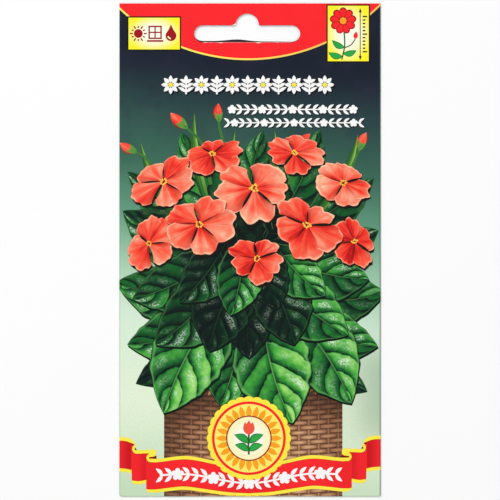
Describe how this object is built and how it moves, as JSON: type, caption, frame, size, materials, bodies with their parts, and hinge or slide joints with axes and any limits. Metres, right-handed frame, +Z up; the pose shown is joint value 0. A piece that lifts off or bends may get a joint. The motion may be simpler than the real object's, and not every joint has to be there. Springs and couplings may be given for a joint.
{
  "type": "seed packet",
  "caption": "Flat folded paper seed packet with a hang slot through its header, holding a small glassine sachet of flat seeds.",
  "frame": {"origin": "on the surface that the packet lies on, under the middle of its outline", "axes": "+X across the packet to the right of its printed front, +Y along its height to the header with the hang slot, +Z up, out of the printed front"},
  "size_m": [0.08, 0.151, 0.0019],
  "materials": {
    "printed_paper": "coated paper with a glossy colour print outside, bare white inside and at the cut edges",
    "glassine": "thin smooth translucent glassine",
    "seed_coat": "dry matte brown seed coat"
  },
  "bodies": {
    "root": {"envelope": "printed_paper", "sachet": "glassine", "seed_1": "seed_coat", "seed_2": "seed_coat", "seed_3": "seed_coat", "seed_4": "seed_coat", "seed_5": "seed_coat"}
  },
  "joints": []
}
